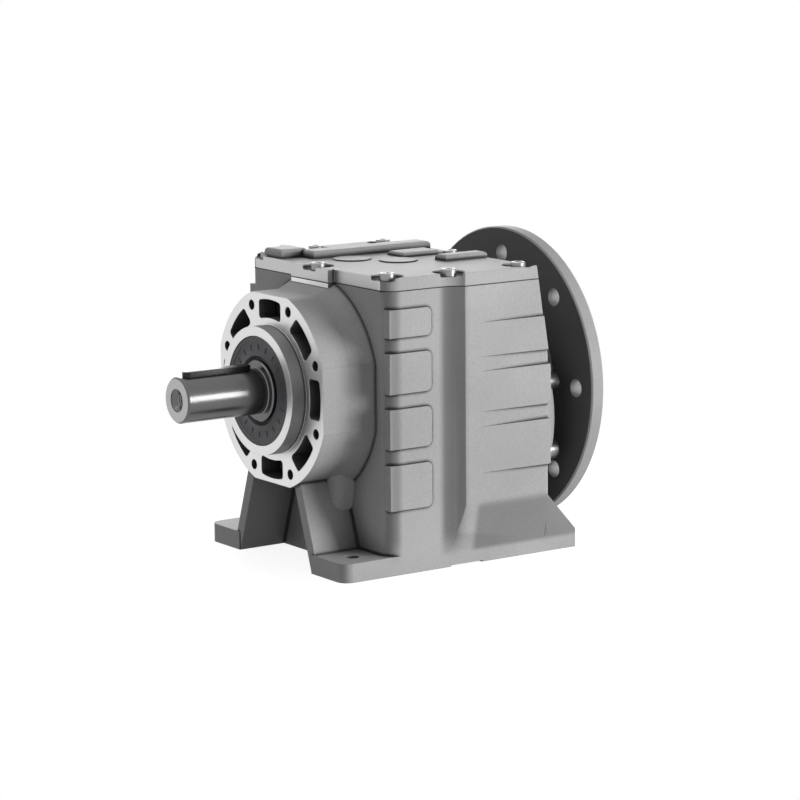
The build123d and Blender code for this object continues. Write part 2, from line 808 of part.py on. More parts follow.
def gear_dishes(height, middle_y, width, outer, inner):
    """Shallow turned dishes in both faces of a gear."""
    half = width / 2
    near = ring(outer, inner, middle_y - half - 1, middle_y - half + gear_dish_depth, height)
    far = ring(outer, inner, middle_y + half - gear_dish_depth, middle_y + half + 1, height)
    return near + far


def make_intermediate_shaft():
    z = intermediate_axis_height
    pinion_start = second_gear_y - second_pinion_width / 2
    pinion_end = second_gear_y + second_pinion_width / 2
    gear_start = first_gear_y - first_gear_width / 2
    turn = pi / second_pinion_teeth
    body = second_gear(second_pinion_teeth, second_shift, second_pinion_width, z, -1, turn)
    body += rod(middle_front_bearing[0] / 2, middle_front_y, pinion_start + 1, z)
    body += rod(middle_front_shoulder, middle_front_y + middle_front_bearing[2], pinion_start, z)
    body += rod(middle_shoulder, pinion_end, gear_start, z)
    body += rod(middle_gear_bore / 2, gear_start - 1, middle_seat_end_y, z)
    body += rod(middle_rear_shoulder, middle_seat_end_y - 1, middle_rear_y, z)
    body += rod(middle_rear_bearing[0] / 2, middle_rear_y - 1, middle_rear_y + middle_rear_bearing[2], z)
    top = z + middle_gear_bore / 2 - middle_key_depth
    body -= key_block(middle_key_width, middle_key_length, middle_key_y, top, z + collar_diameter / 2)
    seat = middle_gear_bore / 2
    ring_y = first_gear_y + first_gear_width / 2
    return body - ring(seat + 1, seat - ring_groove, ring_y, ring_y + shaft_ring_width, z)


def make_intermediate_gear():
    z = intermediate_axis_height
    body = first_gear(first_gear_teeth, -first_shift, first_gear_width, z, -1, pi / first_gear_teeth)
    bore = middle_gear_bore / 2
    body -= rod(bore, first_gear_y - FAR / 2, first_gear_y + FAR / 2, z)
    half = middle_key_width / 2
    slot_top = z + bore + middle_key_height - middle_key_depth
    body -= block(-half, half, first_gear_y - FAR / 2, first_gear_y + FAR / 2, z, slot_top)
    return body - gear_dishes(z, first_gear_y, first_gear_width, *middle_gear_dish)


def make_input_pinion():
    z = input_axis_height
    pinion_end = first_gear_y + first_pinion_width / 2
    body = first_gear(first_pinion_teeth, first_shift, first_pinion_width, z, 1, pi)
    body += rod(pinion_shank_diameter / 2, pinion_end - 1, pinion_end + pinion_shank_length, z)
    return body + rod(pinion_collar_radius, pinion_end, quill_start_y, z)


def make_quill():
    z = input_axis_height
    step_y = input_front_y + input_front_bearing[2]
    body = rod(quill_front_diameter / 2, quill_start_y, step_y, z)
    body += rod(quill_diameter / 2, step_y, quill_end_y, z)
    body -= rod(motor_bore / 2, quill_end_y - motor_bore_depth, quill_end_y + 1, z)
    half = motor_key_width / 2
    top = z + motor_bore / 2 + motor_key_rise
    body -= block(-half, half, quill_end_y - motor_bore_depth, quill_end_y + 1, z, top)
    pinion_end = first_gear_y + first_pinion_width / 2
    return body - rod(pinion_shank_diameter / 2, quill_start_y - 1, pinion_end + pinion_shank_length, z)


def make_output_seal():
    outer = output_front_bearing[1] / 2
    lip = collar_diameter / 2 + seal_gap
    lip_outer = lip + seal_lip_wall
    front_y = face_y - seal_width
    body = ring(outer, lip, front_y, face_y, axis_height)
    body -= cone(seal_dish_radius, lip, front_y, front_y + seal_dish_depth, axis_height)
    body += ring(lip_outer, lip, front_y + seal_lip_setback, face_y, axis_height)
    return body - ring(outer - seal_wall, lip_outer, face_y - seal_back_depth, face_y + 1, axis_height)


def make_input_seal():
    lip = quill_diameter / 2 + seal_gap
    body = ring(input_seal_outer, lip, input_seal_y, input_seal_end_y, input_axis_height)
    back_y = input_seal_y + input_seal_back_depth
    outer = input_seal_outer - seal_wall
    return body - ring(outer, lip + seal_lip_wall, input_seal_y - 1, back_y, input_axis_height)


def snap_ring(outer, inner, y0, width, height, opening):
    """Retaining ring with its gap at the bottom."""
    body = ring(outer, inner, y0, y0 + width, height)
    half = opening / 2
    return body - block(-half, half, y0 - 1, y0 + width + 1, 0, height)


def make_pieces():
    """Every node's solid by name."""
    seat = output_front_bearing[0] / 2
    middle_seat = middle_gear_bore / 2
    bearing_ring_outer = output_front_bearing[1] / 2 + ring_groove
    second_end = second_gear_y + second_gear_width / 2
    first_end = first_gear_y + first_gear_width / 2
    output_key_low = axis_height + shaft_diameter / 2 - key_depth
    gear_key_low = axis_height + seat - gear_key_depth
    middle_key_low = intermediate_axis_height + middle_seat - middle_key_depth
    pieces = {
        "housing": make_housing(),
        "cover": make_cover(),
        "cover_gasket": make_gasket(),
        "motor_adapter": make_adapter(),
        "adapter_gasket": make_adapter_gasket(),
        "output_shaft": make_output_shaft(),
        "output_key": key_block(
            key_width, key_length, key_start_y, output_key_low, output_key_low + key_height
        ),
        "output_gear": make_output_gear(),
        "output_gear_key": key_block(
            gear_key_width, gear_key_length, gear_key_y, gear_key_low, gear_key_low + gear_key_height
        ),
        "output_spacer": ring(
            spacer_radius, seat, output_bearing_end_y, second_gear_y - second_gear_width / 2, axis_height
        ),
        "output_gear_ring": snap_ring(
            seat + output_ring_rise, seat - ring_groove, second_end, shaft_ring_width,
            axis_height, output_ring_opening
        ),
        "output_seal": make_output_seal(),
        "output_bearing_ring": snap_ring(
            bearing_ring_outer, bearing_ring_inner, face_y, output_ring_width,
            axis_height, bearing_ring_opening
        ),
        "intermediate_shaft": make_intermediate_shaft(),
        "intermediate_gear": make_intermediate_gear(),
        "intermediate_gear_key": key_block(
            middle_key_width, middle_key_length, middle_key_y,
            middle_key_low, middle_key_low + middle_key_height
        ),
        "intermediate_gear_ring": snap_ring(
            middle_seat + middle_ring_rise, middle_seat - ring_groove, first_end, shaft_ring_width,
            intermediate_axis_height, middle_ring_opening
        ),
        "input_pinion": make_input_pinion(),
        "input_quill": make_quill(),
        "input_seal": make_input_seal(),
    }
    places = {
        "output_front": (output_front_bearing, output_bearing_y, axis_height),
        "output_rear": (output_rear_bearing, rear_bearing_y, axis_height),
        "intermediate_front": (middle_front_bearing, middle_front_y, intermediate_axis_height),
        "intermediate_rear": (middle_rear_bearing, middle_rear_y, intermediate_axis_height),
        "input_front": (input_front_bearing, input_front_y, input_axis_height),
        "input_rear": (input_rear_bearing, input_rear_y, input_axis_height),
    }
    for place, (sizes, y0, height) in places.items():
        outer, inner, cage = bearing(sizes, y0, height)
        pieces[f"{place}_outer_ring"] = outer
        pieces[f"{place}_inner_ring"] = inner
        pieces[f"{place}_cage"] = cage
    return pieces


os.makedirs("parts", exist_ok=True)
for name, solid in make_pieces().items():
    export_step(solid, f"parts/{name}.step")
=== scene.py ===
# %% [markdown]
# # A gear reducer, dressed for its portrait
# The CAD model brings every solid of the reducer in its right place. This lesson gives
# those solids their metal, adds the small things that a designer leaves out of the CAD,
# such as screws, bearing balls and moulded ticks, and sets a camera and soft studio lights.
# Lengths are in metres. X runs across the feet, Y along the shafts towards the motor, Z up.

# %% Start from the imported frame
from math import cos, pi, radians, sin

import bmesh
import bpy
from mathutils import Matrix, Vector


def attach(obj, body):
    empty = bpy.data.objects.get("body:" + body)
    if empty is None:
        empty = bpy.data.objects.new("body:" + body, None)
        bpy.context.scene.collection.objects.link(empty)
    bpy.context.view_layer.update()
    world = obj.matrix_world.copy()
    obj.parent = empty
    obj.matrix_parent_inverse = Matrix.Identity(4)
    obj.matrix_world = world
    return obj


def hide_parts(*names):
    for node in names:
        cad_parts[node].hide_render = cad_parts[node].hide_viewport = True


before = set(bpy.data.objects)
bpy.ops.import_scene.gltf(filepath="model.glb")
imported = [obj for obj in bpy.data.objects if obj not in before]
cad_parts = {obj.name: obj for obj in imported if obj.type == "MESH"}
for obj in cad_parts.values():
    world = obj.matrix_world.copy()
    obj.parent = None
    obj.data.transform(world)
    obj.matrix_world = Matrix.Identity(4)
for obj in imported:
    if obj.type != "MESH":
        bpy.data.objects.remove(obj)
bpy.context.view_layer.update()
MM = 0.001

# %% [markdown]
# ## Sizes that the dressing shares with the CAD
# A piece made here has to sit exactly on the solid that carries it, so its place is
# written from the same shaft lines and faces. Reading them from the frame's boxes would
# also work for plain blocks, but a shaft line isn't the middle of every box.

# %% Shaft lines and faces
OUTPUT_Z = 115.0 * MM
INPUT_Z = 107.5 * MM
MIDDLE_Z = 55.5 * MM
FACE_Y = -94.0 * MM
SHAFT_END_Y = -165.0 * MM
COVER_TOP_Z = 193.0 * MM
print("output shaft line at", OUTPUT_Z, "m, motor shaft line at", INPUT_Z, "m")

# %% [markdown]
# ## The camera
# A camera is a place, a direction and a lens. The photograph was taken from the right of
# the output shaft and a little above it, with a long lens, so that the far flange is
# almost as large as the near face. The three directions of the camera become the columns
# of its matrix, which is shorter to read than three angles.

# %% Camera place and lens
VIEW_AZIMUTH = radians(55.394)
VIEW_ELEVATION = radians(9.908)
VIEW_ROLL = radians(-0.487)
VIEW_PLACE = Vector((1.65911, -1.13673, 0.44916))
VIEW_LENS = 137.28
SENSOR_WIDTH = 36.0
VIEW_REACH = 20.0


def view_matrix(azimuth, elevation, roll, place):
    """Matrix of a camera whose azimuth is counted from behind the output shaft's end."""
    back = Vector((sin(azimuth) * cos(elevation), -cos(azimuth) * cos(elevation), sin(elevation)))
    right = Vector((cos(azimuth), sin(azimuth), 0.0))
    up = back.cross(right)
    turned_right = right * cos(roll) + up * sin(roll)
    turned_up = up * cos(roll) - right * sin(roll)
    turn = Matrix((turned_right, turned_up, back)).transposed().to_4x4()
    return Matrix.Translation(place) @ turn


camera_data = bpy.data.cameras.new("portrait_camera")
camera_data.lens = VIEW_LENS
camera_data.sensor_width = SENSOR_WIDTH
camera_data.clip_end = VIEW_REACH
camera = bpy.data.objects.new("portrait_camera", camera_data)
camera.matrix_world = view_matrix(VIEW_AZIMUTH, VIEW_ELEVATION, VIEW_ROLL, VIEW_PLACE)
bpy.context.scene.collection.objects.link(camera)
bpy.context.scene.camera = camera
print("camera stands", round(VIEW_PLACE.length, 3), "m from the origin")

# %% [markdown]
# ## Effects that several metals share
# A real casting is never one flat grey. It has a fine sand grain, soft clouds of lighter
# and darker skin, and edges rubbed bright by handling. Each effect is a small shader
# group: it is built once, and each material sets its own values on the group's sockets.

# %% A helper for shader groups


def new_group(title, inputs, outputs):
    """Shader node group with named float or colour sockets."""
    group = bpy.data.node_groups.new(title, "ShaderNodeTree")
    for name, kind, value in inputs:
        socket = group.interface.new_socket(name, in_out="INPUT", socket_type=kind)
        socket.default_value = value
    for name, kind in outputs:
        group.interface.new_socket(name, in_out="OUTPUT", socket_type=kind)
    enter = group.nodes.new("NodeGroupInput")
    leave = group.nodes.new("NodeGroupOutput")
    return group, enter, leave


def maths(nodes, operation, first=None, second=None, third=None):
    """Math node with its values or links set."""
    node = nodes.new("ShaderNodeMath")
    node.operation = operation
    tree = node.id_data
    for index, value in enumerate((first, second, third)):
        if value is None:
            continue
        if isinstance(value, (int, float)):
            node.inputs[index].default_value = value
        else:
            tree.links.new(value, node.inputs[index])
    return node.outputs[0]


def noise(nodes, vector, scale, detail=3.0, roughness=0.5):
    """Value of a noise pattern on the given coordinates."""
    node = nodes.new("ShaderNodeTexNoise")
    node.inputs["Scale"].default_value = scale
    node.inputs["Detail"].default_value = detail
    node.inputs["Roughness"].default_value = roughness
    node.id_data.links.new(vector, node.inputs["Vector"])
    return node.outputs["Fac"]


# A Mix node has a row of sockets for each kind of data. These are its colour sockets.
MIX_BELOW = 6
MIX_ABOVE = 7
MIX_RESULT = 2


def blend_colours(nodes, links, mask, below, above):
    """Colour that goes from below to above as the mask goes from 0 to 1."""
    node = nodes.new("ShaderNodeMix")
    node.data_type = "RGBA"
    links.new(mask, node.inputs["Factor"])
    for value, socket in ((below, node.inputs[MIX_BELOW]), (above, node.inputs[MIX_ABOVE])):
        if isinstance(value, tuple):
            socket.default_value = value
        else:
            links.new(value, socket)
    return node.outputs[MIX_RESULT]


def mapped(nodes, value, low, high, first=0.0, last=1.0, smooth=False):
    """Value that goes from first to last while the given one goes from low to high."""
    node = nodes.new("ShaderNodeMapRange")
    if smooth:
        node.interpolation_type = "SMOOTHSTEP"
    node.inputs["From Min"].default_value = low
    node.inputs["From Max"].default_value = high
    node.inputs["To Min"].default_value = first
    node.inputs["To Max"].default_value = last
    node.id_data.links.new(value, node.inputs["Value"])
    return node.outputs["Result"]


def own_place(nodes):
    """The X, Y and Z of a point in its object's own coordinates."""
    spot = nodes.new("ShaderNodeSeparateXYZ")
    nodes.id_data.links.new(nodes.new("ShaderNodeTexCoord").outputs["Object"], spot.inputs[0])
    return spot.outputs


def own_way(nodes, normal):
    """The X, Y and Z of a Geometry normal."""
    way = nodes.new("ShaderNodeSeparateXYZ")
    nodes.id_data.links.new(nodes.new("ShaderNodeNewGeometry").outputs[normal], way.inputs[0])
    return way.outputs


print("helpers for shader groups are ready")

# %% [markdown]
# ### Cast skin
# The group mixes two noises: a fine one for the grain left by the mould, and a broad one
# for the clouds. It puts out the mixed colour, a roughness and a height for a Bump node.
# A picture texture would need a map of the surface, and noise on Object coordinates
# doesn't, so it fits loose CAD triangles.

# %% Group: cast skin
GRAIN_SHARE = 0.45


def build_cast_skin():
    group, enter, leave = new_group(
        "cast skin",
        (
            ("Light", "NodeSocketColor", (0.6, 0.6, 0.6, 1.0)),
            ("Dark", "NodeSocketColor", (0.4, 0.4, 0.4, 1.0)),
            ("Grain Scale", "NodeSocketFloat", 900.0),
            ("Cloud Scale", "NodeSocketFloat", 22.0),
            ("Rough Low", "NodeSocketFloat", 0.35),
            ("Rough High", "NodeSocketFloat", 0.55),
        ),
        (("Color", "NodeSocketColor"), ("Roughness", "NodeSocketFloat"), ("Height", "NodeSocketFloat")),
    )
    nodes, links = group.nodes, group.links
    place = nodes.new("ShaderNodeTexCoord").outputs["Object"]
    grain = nodes.new("ShaderNodeTexNoise")
    grain.inputs["Detail"].default_value = 3.0
    cloud = nodes.new("ShaderNodeTexNoise")
    cloud.inputs["Detail"].default_value = 4.0
    for node, name in ((grain, "Grain Scale"), (cloud, "Cloud Scale")):
        links.new(place, node.inputs["Vector"])
        links.new(enter.outputs[name], node.inputs["Scale"])
    clouds = maths(nodes, "MULTIPLY", cloud.outputs["Fac"], 1.0 - GRAIN_SHARE)
    both = maths(nodes, "MULTIPLY_ADD", grain.outputs["Fac"], GRAIN_SHARE, clouds)
    spread = mapped(nodes, both, 0.36, 0.64)
    skin = blend_colours(nodes, links, spread, enter.outputs["Dark"], enter.outputs["Light"])
    links.new(skin, leave.inputs["Color"])
    rough = nodes.new("ShaderNodeMapRange")
    links.new(grain.outputs["Fac"], rough.inputs["Value"])
    links.new(enter.outputs["Rough Low"], rough.inputs["To Min"])
    links.new(enter.outputs["Rough High"], rough.inputs["To Max"])
    links.new(rough.outputs["Result"], leave.inputs["Roughness"])
    links.new(grain.outputs["Fac"], leave.inputs["Height"])
    return group


CAST_SKIN = build_cast_skin()
print("group", CAST_SKIN.name, "has", len(CAST_SKIN.nodes), "nodes")

# %% [markdown]
# ### Turning marks
# A turned face shows fine rings round its shaft line, because the tool leaves a shallow
# spiral. The group measures the distance from a line along Y and turns it into a ripple.
# The line's height is a value, so the same group serves all three shafts.

# %% Group: turning marks
STREAKS_PER_METRE = 900.0


def build_turning_marks():
    group, enter, leave = new_group(
        "turning marks",
        (
            ("Centre Z", "NodeSocketFloat", 0.0),
            ("Pitch", "NodeSocketFloat", 0.0004),
            ("Along", "NodeSocketFloat", 0.0),
        ),
        (("Ripple", "NodeSocketFloat"), ("Streak", "NodeSocketFloat")),
    )
    nodes, links = group.nodes, group.links
    spot = own_place(nodes)
    above = maths(nodes, "SUBTRACT", spot["Z"], enter.outputs["Centre Z"])
    squares = [maths(nodes, "MULTIPLY", part, part) for part in (spot["X"], above)]
    radius = maths(nodes, "SQRT", maths(nodes, "ADD", *squares))
    run = maths(nodes, "MULTIPLY_ADD", spot["Y"], enter.outputs["Along"], radius)
    phase = maths(nodes, "DIVIDE", run, enter.outputs["Pitch"])
    wave = maths(nodes, "SINE", maths(nodes, "MULTIPLY", phase, 2 * pi))
    links.new(maths(nodes, "MULTIPLY_ADD", wave, 0.5, 0.5), leave.inputs["Ripple"])
    combine = nodes.new("ShaderNodeCombineXYZ")
    links.new(maths(nodes, "MULTIPLY", run, STREAKS_PER_METRE), combine.inputs["X"])
    links.new(noise(nodes, combine.outputs[0], 2.0, 2.0), leave.inputs["Streak"])
    return group


TURNING_MARKS = build_turning_marks()
print("group", TURNING_MARKS.name, "has", len(TURNING_MARKS.nodes), "nodes")

# %% [markdown]
# ### Edge wear
# Corners that are handled lose their dull skin first. Geometry's Pointiness tells how
# sharply the surface turns, but it needs a dense mesh. The difference between the plain
# normal and one rounded by a Bevel node works on CAD triangles too, and the Bevel node
# also gives each crisp CAD edge a thin highlight. The group gets both normals and puts out
# a mask.

# %% Group: edge wear
WEAR_SCALE = 160.0


def build_edge_wear():
    group, enter, leave = new_group(
        "edge wear",
        (
            ("Rounded", "NodeSocketVector", (0.0, 0.0, 1.0)),
            ("Plain", "NodeSocketVector", (0.0, 0.0, 1.0)),
            ("Strength", "NodeSocketFloat", 0.6),
        ),
        (("Mask", "NodeSocketFloat"),),
    )
    nodes, links = group.nodes, group.links
    dot = nodes.new("ShaderNodeVectorMath")
    dot.operation = "DOT_PRODUCT"
    links.new(enter.outputs["Rounded"], dot.inputs[0])
    links.new(enter.outputs["Plain"], dot.inputs[1])
    edge = mapped(nodes, maths(nodes, "SUBTRACT", 1.0, dot.outputs["Value"]), 0.01, 0.2)
    patch = noise(nodes, nodes.new("ShaderNodeTexCoord").outputs["Object"], WEAR_SCALE, 4.0)
    broken = maths(nodes, "MULTIPLY", edge, maths(nodes, "MULTIPLY_ADD", patch, 1.2, -0.1))
    mask = maths(nodes, "MULTIPLY", broken, enter.outputs["Strength"])
    links.new(maths(nodes, "MINIMUM", mask, 1.0), leave.inputs["Mask"])
    return group


EDGE_WEAR = build_edge_wear()
print("group", EDGE_WEAR.name, "has", len(EDGE_WEAR.nodes), "nodes")

# %% [markdown]
# ## Materials
# One builder sets up what every metal here has in common, and short functions add what
# is special to each. Values that are the same all over a surface go straight on the
# shader's own sockets.

# %% A helper for materials


def new_material(title, metallic):
    """Material with its Principled shader, ready for links."""
    material = bpy.data.materials.new(title)
    material.use_nodes = True
    shader = material.node_tree.nodes["Principled BSDF"]
    shader.inputs["Metallic"].default_value = metallic
    return material, material.node_tree.nodes, material.node_tree.links, shader


def place_group(nodes, group, **values):
    """Put a group in a material and set its sockets. An underscore stands for a space."""
    node = nodes.new("ShaderNodeGroup")
    node.node_tree = group
    for name, value in values.items():
        node.inputs[name.replace("_", " ")].default_value = value
    return node


def grey(level, tint=0.0):
    """A grey with a slight cool tint."""
    return (level, level, level * (1.0 + tint), 1.0)


def bump(nodes, links, height, distance, strength, normal=None):
    """Normal of a surface whose height is a mask times a distance."""
    node = nodes.new("ShaderNodeBump")
    node.inputs["Distance"].default_value = distance
    node.inputs["Strength"].default_value = strength
    links.new(height, node.inputs["Height"])
    if normal is not None:
        links.new(normal, node.inputs["Normal"])
    return node.outputs["Normal"]


def rounded_normal(nodes, radius):
    """Normal that turns softly over an edge, as if the edge had this radius."""
    node = nodes.new("ShaderNodeBevel")
    node.samples = 4
    node.inputs["Radius"].default_value = radius
    return node.outputs["Normal"]


print("helpers for materials are ready")

# %% [markdown]
# ### Cast aluminium with machined faces
# Housing, cover and adapter are castings with some faces cut bright on a machine. A cut
# face is told by where it lies and which way it points, so one material does both: a
# mask finds the faces that look along an axis at the given places. The material also
# paints shade: a darker colour in hollows and narrow corners, which an Ambient Occlusion
# node finds, on chosen faces that lie in shade, and in soft bands along Y and Z on the
# sides where less light falls.

# %% Material: cast aluminium
FACING = 0.9
SIDEWAYS = 0.3
CAST_EDGE = 0.9 * MM
HOLLOW_REACH = 24.0 * MM
CORNER_REACH = 2.4 * MM
# Colours of painted shade: in hollows, in soft patches on the sides, and in narrow corners
HOLLOW_SHADE = grey(0.11)
SIDE_SHADE = grey(0.13)
CORNER_SHADE = grey(0.03)
RUBBED = grey(0.86)
CAST_SPECULAR = 0.25
CUT_METALLIC = 0.9
CUT_SMOOTHER = -0.25


def facing_mask(nodes, axis, level, sign, tolerance=0.25 * MM):
    """Mask of the flat faces at one level of an axis that look one way along it."""
    near = maths(nodes, "COMPARE", own_place(nodes)[axis], level, tolerance)
    way = maths(nodes, "MULTIPLY", own_way(nodes, "True Normal")[axis], float(sign))
    return maths(nodes, "MULTIPLY", near, maths(nodes, "GREATER_THAN", way, FACING))


def hollow_mask(nodes, reach, low, high):
    """Mask that is 1 on open surfaces and falls to 0 in hollows narrower than the reach."""
    node = nodes.new("ShaderNodeAmbientOcclusion")
    node.samples = 6
    node.only_local = True
    node.inputs["Distance"].default_value = reach
    return mapped(nodes, node.outputs["AO"], low, high)


def soft_band(nodes, axis, start, full, fade, end):
    """Mask that rises from start to full along an axis and falls again from fade to end."""
    spot = own_place(nodes)[axis]
    rise = mapped(nodes, spot, start * MM, full * MM, 0.0, 1.0, smooth=True)
    fall = mapped(nodes, spot, fade * MM, end * MM, 1.0, 0.0, smooth=True)
    return maths(nodes, "MULTIPLY", rise, fall)


def side_shade_patch(nodes, along, upward, amount):
    """Mask of a soft patch of painted shade on the sides, given by its band along Y and its band along Z.
    """
    sideways = maths(nodes, "ABSOLUTE", own_way(nodes, "Normal")["X"])
    sideways = maths(nodes, "GREATER_THAN", sideways, SIDEWAYS)
    patch = maths(nodes, "MULTIPLY", soft_band(nodes, "Y", *along), soft_band(nodes, "Z", *upward))
    return maths(nodes, "MULTIPLY", maths(nodes, "MULTIPLY", patch, sideways), amount)


def make_casting(title, tones, cut_faces, centre_z, machined, **painted_shade):
    """Cast metal with cut faces and painted shade: a shaded face, its level, shade patches and a depth."""
    material, nodes, links, shader = new_material(title, 0.0)
    light, dark = (grey(tone, 0.01) for tone in tones)
    skin = place_group(
        nodes, CAST_SKIN, Light=light, Dark=dark, Cloud_Scale=14.0, Rough_Low=0.42, Rough_High=0.62
    )
    marks = place_group(nodes, TURNING_MARKS, Centre_Z=centre_z, Pitch=0.45 * MM)
    rounded = rounded_normal(nodes, CAST_EDGE)
    wear = place_group(nodes, EDGE_WEAR, Strength=0.35)
    links.new(rounded, wear.inputs["Rounded"])
    links.new(nodes.new("ShaderNodeNewGeometry").outputs["Normal"], wear.inputs["Plain"])
    cut = None
    for face in cut_faces:
        mask = facing_mask(nodes, *face)
        cut = mask if cut is None else maths(nodes, "MAXIMUM", cut, mask)
    # Painted shade: hollows narrower than the reach get a darker colour
    open_skin = hollow_mask(nodes, HOLLOW_REACH, painted_shade.get("deep", 0.32), 0.88)
    colour = blend_colours(nodes, links, open_skin, HOLLOW_SHADE, skin.outputs["Color"])
    # Painted shade: soft patches on the sides, where less light falls, get a darker grey
    for stain in painted_shade.get("stains", ()):
        colour = blend_colours(nodes, links, side_shade_patch(nodes, *stain), colour, SIDE_SHADE)
    # Painted shade: a chosen face that lies in shade gets a dark grey
    if "dull_face" in painted_shade:
        dull = facing_mask(nodes, *painted_shade["dull_face"])
        colour = blend_colours(nodes, links, dull, colour, grey(painted_shade["dull_level"]))
    # Painted shade: narrow corners, such as round the pads, get thin dark lines
    corners = hollow_mask(nodes, CORNER_REACH, 0.8, 0.98)
    colour = blend_colours(nodes, links, corners, CORNER_SHADE, colour)
    rubbed = maths(nodes, "MULTIPLY", wear.outputs["Mask"], corners)
    colour = blend_colours(nodes, links, rubbed, colour, RUBBED)
    bright = blend_colours(nodes, links, marks.outputs["Streak"], *(grey(tone) for tone in machined))
    links.new(blend_colours(nodes, links, cut, colour, bright), shader.inputs["Base Color"])
    links.new(maths(nodes, "MULTIPLY", cut, CUT_METALLIC), shader.inputs["Metallic"])
    shader.inputs["Specular IOR Level"].default_value = CAST_SPECULAR
    smoother = maths(nodes, "MULTIPLY_ADD", cut, CUT_SMOOTHER, 1.0)
    rough = maths(nodes, "MULTIPLY", skin.outputs["Roughness"], smoother)
    links.new(rough, shader.inputs["Roughness"])
    height = maths(nodes, "MULTIPLY", skin.outputs["Height"], maths(nodes, "SUBTRACT", 1.0, cut))
    links.new(bump(nodes, links, height, 0.1 * MM, 0.35, rounded), shader.inputs["Normal"])
    return material


# Each painted shade patch: start, full, fade and end along Y in millimetres, the same along Z, amount
# Painted shade in the groove between the side panels, beside the front corner, and on the lower slope at
# the rear
HOUSING_SHADE_PATCHES = (
    ((-19.0, -12.5, -9.0, 3.0), (4.0, 26.0, 200.0, 201.0), 0.7),
    ((-59.0, -54.0, -52.0, -46.0), (4.0, 26.0, 200.0, 201.0), 0.5),
    ((5.5, 11.5, 200.0, 201.0), (7.0, 11.0, 37.0, 44.0), 0.55),
)
FRONT_LUG_Y = -63.0 * MM
FRONT_WALL_Y = -58.0 * MM
REGISTER_Y = FACE_Y - 10.5 * MM
SEAT_Z = COVER_TOP_Z - 2.6 * MM
housing_metal = make_casting(
    "cast aluminium, housing",
    (0.66, 0.52),
    (("Y", FACE_Y, -1), ("Y", REGISTER_Y, -1), ("Y", FRONT_LUG_Y, -1), ("Z", 0.0, -1)),
    OUTPUT_Z,
    (0.74, 0.88),
    stains=HOUSING_SHADE_PATCHES,
)
cover_metal = make_casting(
    "cast aluminium, cover",
    (0.66, 0.54),
    (("Y", FRONT_LUG_Y, -1), ("Y", FRONT_WALL_Y, -1)),
    OUTPUT_Z,
    (0.5, 0.62),
    # Painted shade on the floors of the screw recesses
    dull_face=("Z", SEAT_Z, 1),
    dull_level=0.05,
)
adapter_metal = make_casting(
    "cast aluminium, adapter",
    (0.6, 0.48),
    (("Y", 103.0 * MM, 1), ("Y", 98.5 * MM, 1)),
    INPUT_Z,
    (0.4, 0.52),
    # Painted shade on the flange face behind the housing
    dull_face=("Y", 93.0 * MM, -1),
    dull_level=0.11,
    deep=-0.6,
)
print("castings:", housing_metal.name, cover_metal.name, adapter_metal.name)

# %% [markdown]
# ### Ground and turned steel
# Shafts, rings and gears are bright steel. What differs is the grey, the gloss and the
# marks of the last tool, so one function takes these as values.

# %% Material: steel
SAWN_END = grey(0.42)
STEEL_EDGE = 0.3 * MM


def make_steel(
    title, level, rough, centre_z, along=0.0, pitch=0.3 * MM, strength=0.2, tint=0.0, end_face=None
):
    """Turned or ground steel. An end face, if given, is brighter than the rest."""
    material, nodes, links, shader = new_material(title, 1.0)
    marks = place_group(nodes, TURNING_MARKS, Centre_Z=centre_z, Pitch=pitch, Along=along)
    light, dark, polished = (grey(level * share, tint) for share in (1.04, 0.92, 1.08))
    skin = place_group(
        nodes, CAST_SKIN, Light=light, Dark=dark, Rough_Low=rough * 0.8, Rough_High=rough * 1.25
    )
    streak = blend_colours(nodes, links, marks.outputs["Streak"], skin.outputs["Color"], polished)
    if end_face is not None:
        streak = blend_colours(nodes, links, facing_mask(nodes, *end_face), streak, SAWN_END)
    links.new(streak, shader.inputs["Base Color"])
    links.new(skin.outputs["Roughness"], shader.inputs["Roughness"])
    rounded = rounded_normal(nodes, STEEL_EDGE)
    rippled = bump(nodes, links, marks.outputs["Ripple"], 0.01 * MM, strength, rounded)
    links.new(rippled, shader.inputs["Normal"])
    return material


shaft_steel = make_steel(
    "ground steel, output shaft", 0.13, 0.24, OUTPUT_Z,
    along=1.0, pitch=0.35 * MM, end_face=("Y", SHAFT_END_Y, -1),
)
quill_steel = make_steel("ground steel, input quill", 0.62, 0.3, INPUT_Z, along=1.0)
gear_steel = make_steel("hobbed gear steel", 0.4, 0.34, OUTPUT_Z, pitch=0.6 * MM)
middle_steel = make_steel("hobbed gear steel, middle shaft", 0.42, 0.34, MIDDLE_Z, pitch=0.6 * MM)
bearing_steel = make_steel("polished bearing steel", 0.78, 0.12, OUTPUT_Z, strength=0.05)
screw_zinc = make_steel("zinc plated screw steel", 0.28, 0.36, 0.0, pitch=0.5 * MM, strength=0.1, tint=0.02)
spring_steel = make_steel("blued spring steel", 0.16, 0.35, OUTPUT_Z, tint=0.12)
key_steel = make_steel("drawn key steel", 0.03, 0.3, OUTPUT_Z, along=1.0, pitch=0.2 * MM)
dark_steel = make_steel("oiled thread steel", 0.22, 0.4, OUTPUT_Z, along=1.0)
print("steels:", sum("steel" in material.name for material in bpy.data.materials))

# %% [markdown]
# ### Brass, rubber and gasket
# The bearing cages are sawn brass, which differs from steel only in colour. The seal is
# nitrile rubber: no metal at all, dull, with a faint bloom. The gasket is black fibre.

# %% Materials: brass, rubber, gasket


def make_grained(title, metallic, depth, strength, **values):
    """Material that is nothing but a skin with a grain of the given depth."""
    material, nodes, links, shader = new_material(title, metallic)
    skin = place_group(nodes, CAST_SKIN, **values)
    links.new(skin.outputs["Color"], shader.inputs["Base Color"])
    links.new(skin.outputs["Roughness"], shader.inputs["Roughness"])
    links.new(bump(nodes, links, skin.outputs["Height"], depth, strength), shader.inputs["Normal"])
    return material


